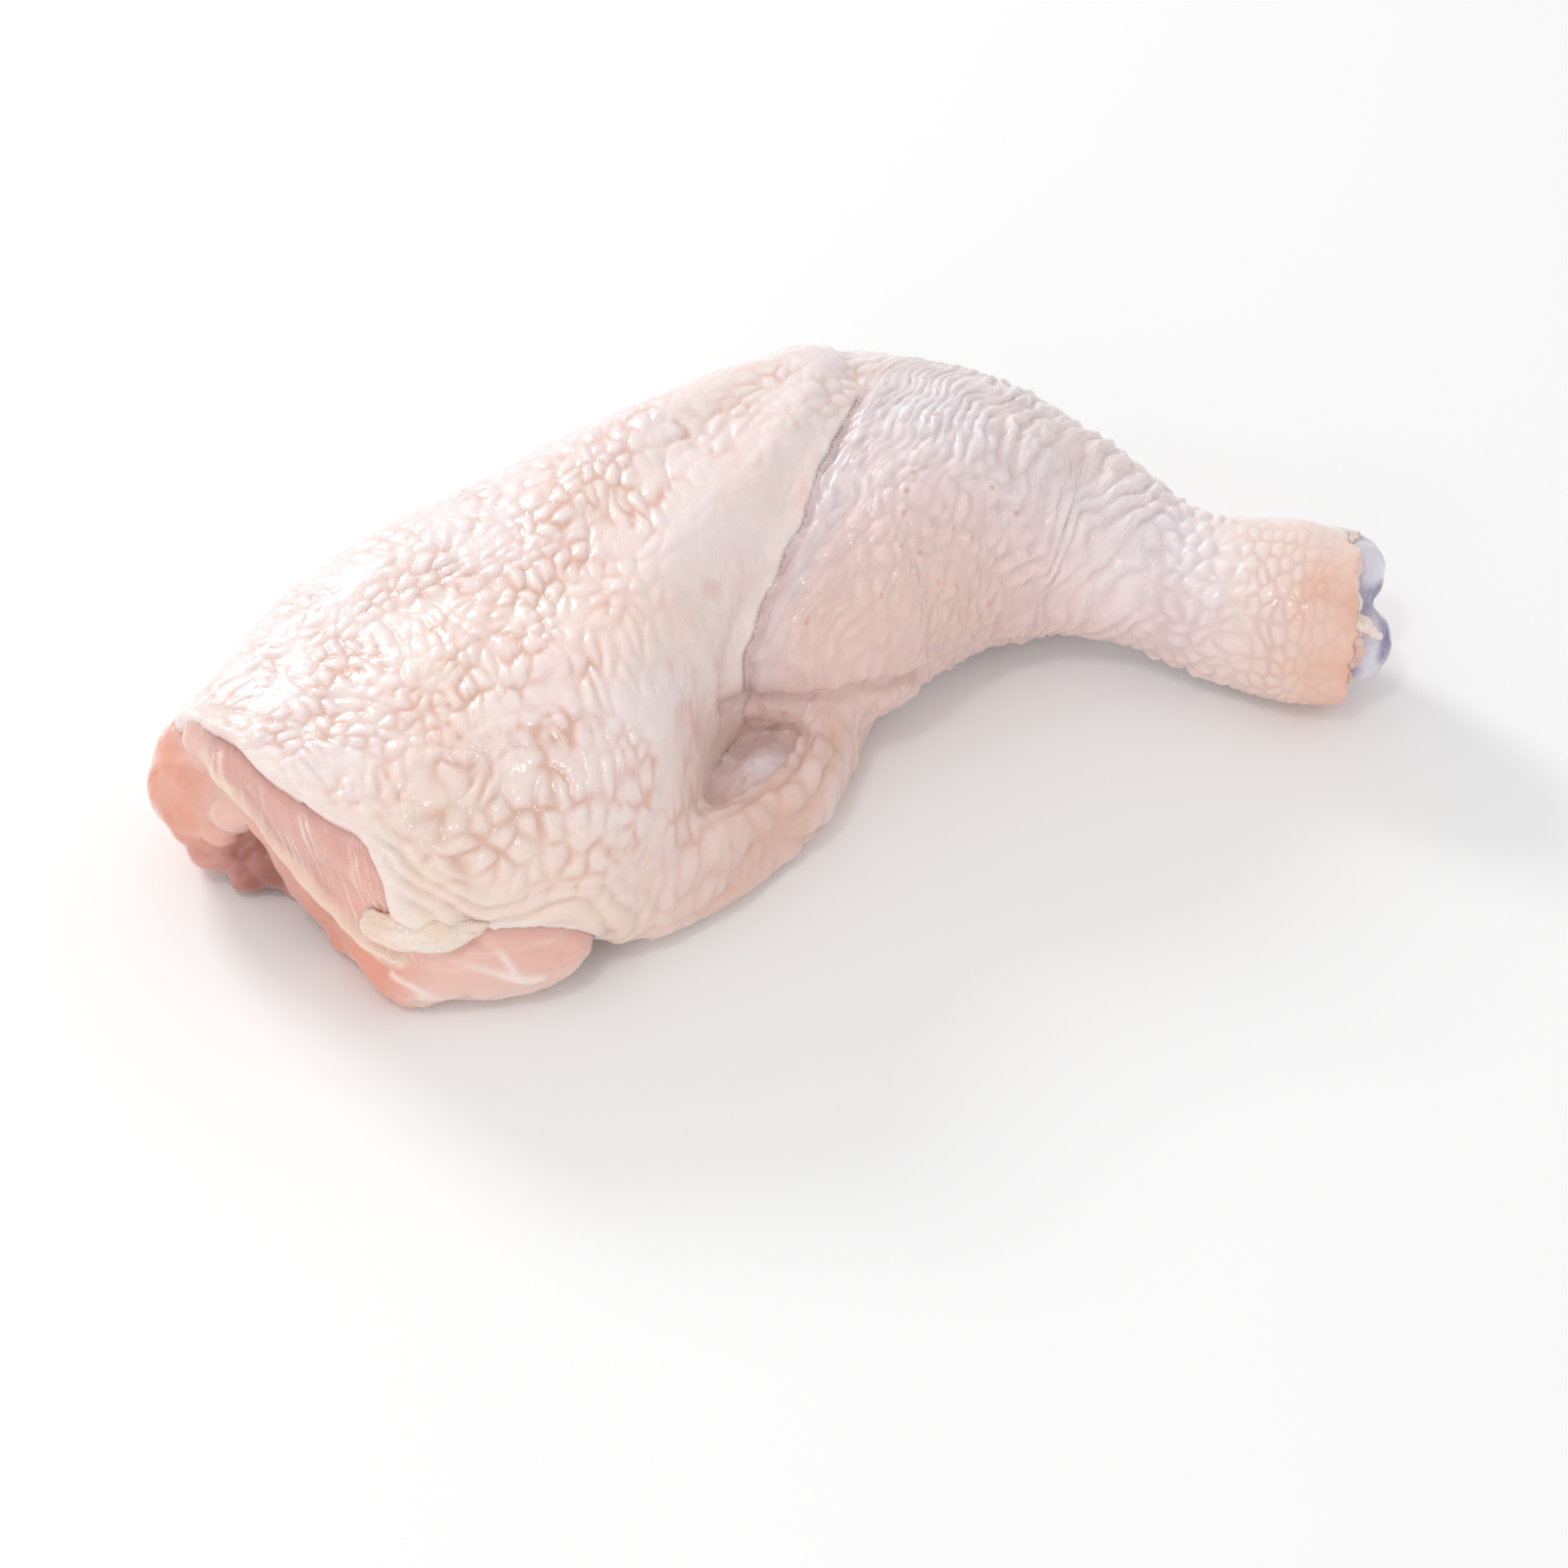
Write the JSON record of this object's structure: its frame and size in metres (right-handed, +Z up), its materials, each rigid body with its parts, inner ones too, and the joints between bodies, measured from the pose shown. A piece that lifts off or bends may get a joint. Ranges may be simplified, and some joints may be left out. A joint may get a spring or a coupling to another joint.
{
  "type": "raw chicken leg quarter",
  "caption": "Raw skin-on chicken leg quarter lying skin side up, thigh and drumstick bent at the knee, cut hip end and bare knuckle showing.",
  "frame": {"origin": "middle of the bounding box's underside, on the table the leg lies on", "axes": "+X from the cut hip end towards the knuckle, +Y from the crook of the leg towards the knee, +Z up"},
  "size_m": [0.1938, 0.1196, 0.0468],
  "materials": {
    "skin": "moist, pale pink, semi-gloss",
    "meat": "wet, raw pink",
    "fat": "waxy, cream yellow",
    "cartilage": "smooth, pearly, bluish white"
  },
  "bodies": {
    "root": {"skin": "skin", "meat": "meat", "fat_flap": "fat", "leg_bone": "cartilage"}
  },
  "joints": []
}
